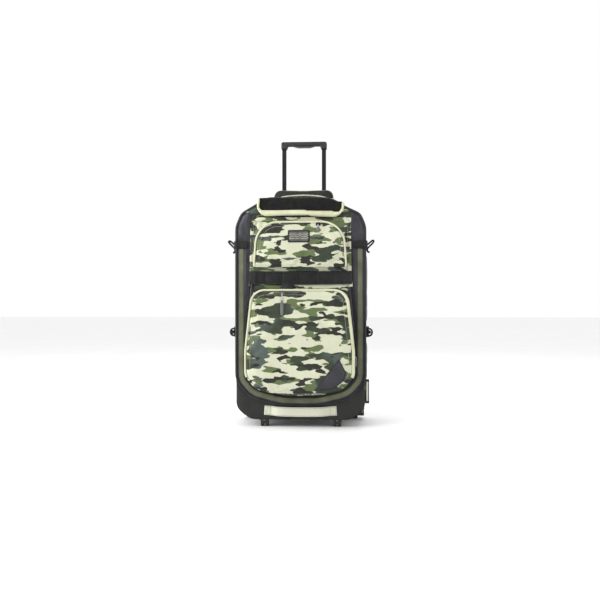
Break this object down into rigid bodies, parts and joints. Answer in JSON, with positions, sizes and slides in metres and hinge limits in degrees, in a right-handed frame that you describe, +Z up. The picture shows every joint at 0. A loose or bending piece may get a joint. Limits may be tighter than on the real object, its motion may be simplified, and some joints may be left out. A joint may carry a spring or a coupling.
{
  "type": "rolling duffel bag",
  "caption": "Upright wheeled duffel bag with a telescopic handle, a zipped front lid carrying zipped pockets, side compression straps, webbing handles and front feet.",
  "frame": {"origin": "on the floor at the middle of the footprint, with the bag standing on its wheels and front feet", "axes": "+Z up, +X to the right seen from the front, the front with the pockets faces -Y"},
  "size_m": [0.4768, 0.3293, 0.958],
  "materials": {
    "camo_fabric": "coated, camouflage print",
    "coated_black_fabric": "coated, slightly glossy",
    "black_fabric": "woven",
    "black_webbing": "ribbed webbing",
    "olive_tape": "woven tape",
    "black_piping": "bound cord",
    "cream_trim": "woven webbing",
    "zip_tape": "woven tape",
    "olive_webbing": "ribbed webbing",
    "patch_fabric": "woven patch",
    "stiffener": "plain sheet",
    "zip_metal": "black lacquer",
    "pull_cord": "woven tab",
    "black_plastic": "moulded",
    "grip_plastic": "moulded",
    "button_plastic": "moulded",
    "black_tube": "black anodised",
    "steel": "plated",
    "hub_plastic": "moulded",
    "tyre": "moulded"
  },
  "bodies": {
    "bag": {"back_panel": "black_fabric", "base_boot": "coated_black_fabric", "base_handle": "cream_trim", "buckle_sockets": "black_plastic", "edge_piping": "black_piping", "front_feet": "black_plastic", "front_frame": "coated_black_fabric", "lid_zip_outer": "zip_tape", "outer_tubes": "black_tube", "screws": "steel", "side_panel_left": "coated_black_fabric", "side_panel_right": "coated_black_fabric", "side_straps": "black_webbing", "olive_strip": "olive_tape", "skid_rails": "black_plastic", "stiffener_boards": "stiffener", "strap_adjusters": "black_plastic", "top_handle": "olive_webbing", "top_panel": "coated_black_fabric", "trolley_bezel": "black_plastic", "trolley_bracket": "black_plastic", "vent_lip": "cream_trim", "vent_panel": "black_fabric", "wheel_axles": "steel", "wheel_housing_left": "black_plastic", "wheel_housing_right": "black_plastic"},
    "lid": {"lid_panel": "camo_fabric", "lid_zip_inner": "zip_tape", "front_band": "black_webbing", "lower_pocket_wall": "camo_fabric", "upper_pocket_wall": "camo_fabric", "pocket_zips_outer": "zip_tape", "pocket_piping": "cream_trim"},
    "lower_flap": {"lower_flap": "camo_fabric", "lower_zip_inner": "zip_tape", "corner_patch": "black_fabric"},
    "upper_flap": {"upper_flap": "camo_fabric", "upper_zip_inner": "zip_tape", "blank_patch": "patch_fabric"},
    "mid_stage": {"mid_tubes": "black_tube"},
    "handle": {"inner_tubes": "black_tube", "lock_plugs": "black_plastic", "grip": "grip_plastic"},
    "button": {"grip_button": "button_plastic", "release_rods": "steel"},
    "lock_pins": {"lock_pins": "steel"},
    "wheel_left": {"wheel_hub_left": "hub_plastic", "wheel_tyre_left": "tyre", "wheel_bearings_left": "steel"},
    "wheel_right": {"wheel_hub_right": "hub_plastic", "wheel_tyre_right": "tyre", "wheel_bearings_right": "steel"},
    "buckle_left": {"buckle_plug_left": "black_plastic"},
    "buckle_right": {"buckle_plug_right": "black_plastic"},
    "lid_slider": {"lid_zip_slider": "zip_metal"},
    "lid_pull": {"lid_zip_pull": "pull_cord"},
    "lower_slider": {"lower_zip_slider": "zip_metal"},
    "lower_pull": {"lower_zip_pull": "pull_cord"},
    "upper_slider": {"upper_zip_slider": "zip_metal"},
    "upper_pull": {"upper_zip_pull": "pull_cord"}
  },
  "joints": [
    {"name": "lid_hinge", "type": "hinge", "parent": "bag", "child": "lid", "pos_m": [0, -0.085, 0.10025], "axis": [1, 0, 0], "range_deg": [0, 90]},
    {"name": "lower_flap_hinge", "type": "hinge", "parent": "lid", "child": "lower_flap", "pos_m": [0, -0.155, 0.12475], "axis": [1, 0, 0], "range_deg": [0, 90]},
    {"name": "upper_flap_hinge", "type": "hinge", "parent": "lid", "child": "upper_flap", "pos_m": [0, -0.114, 0.52175], "axis": [1, 0, 0], "range_deg": [0, 90]},
    {"name": "mid_stage_slide", "type": "slide", "parent": "bag", "child": "mid_stage", "axis": [0, 0, 1], "range_m": [0, 0.3]},
    {"name": "handle_slide", "type": "slide", "parent": "mid_stage", "child": "handle", "axis": [0, 0, 1], "range_m": [-0.144, 0]},
    {"name": "button_press", "type": "slide", "parent": "handle", "child": "button", "axis": [0, 0, 1], "range_m": [0, 0.004], "stiffness_N_per_m": 1500, "springref_m": -0.002},
    {"name": "lock_pin_slide", "type": "slide", "parent": "handle", "child": "lock_pins", "axis": [0, -1, 0], "range_m": [0, 0.002]},
    {"name": "wheel_left_spin", "type": "hinge", "parent": "bag", "child": "wheel_left", "pos_m": [-0.174, 0.127, 0.038], "axis": [1, 0, 0], "continuous": true},
    {"name": "wheel_right_spin", "type": "hinge", "parent": "bag", "child": "wheel_right", "pos_m": [0.174, 0.127, 0.038], "axis": [1, 0, 0], "continuous": true},
    {"name": "buckle_left_slide", "type": "slide", "parent": "bag", "child": "buckle_left", "axis": [0, -1, 0], "range_m": [0, 0.03]},
    {"name": "buckle_right_slide", "type": "slide", "parent": "bag", "child": "buckle_right", "axis": [0, -1, 0], "range_m": [0, 0.03]},
    {"name": "lid_slider_slide", "type": "slide", "parent": "lid", "child": "lid_slider", "axis": [0, 0, 1], "range_m": [-0.04, 0.08]},
    {"name": "lower_slider_slide", "type": "slide", "parent": "lower_flap", "child": "lower_slider", "axis": [1, 0, 0], "range_m": [-0.05, 0.15]},
    {"name": "upper_slider_slide", "type": "slide", "parent": "upper_flap", "child": "upper_slider", "axis": [1, 0, 0], "range_m": [-0.11, 0.004]},
    {"name": "lid_pull_hinge", "type": "hinge", "parent": "lid_slider", "child": "lid_pull", "pos_m": [0.17675, -0.0934, 0.23], "axis": [-1, 0, 0], "range_deg": [0, 90]},
    {"name": "lower_pull_hinge", "type": "hinge", "parent": "lower_slider", "child": "lower_pull", "pos_m": [-0.053, -0.1634, 0.432], "axis": [-1, 0, 0], "range_deg": [0, 90]},
    {"name": "upper_pull_hinge", "type": "hinge", "parent": "upper_slider", "child": "upper_pull", "pos_m": [0.058, -0.1224, 0.649], "axis": [-1, 0, 0], "range_deg": [0, 90]}
  ],
  "couplings": [
    {"joint": "lock_pin_slide", "follows": "button_press", "ratio": 0.5}
  ]
}
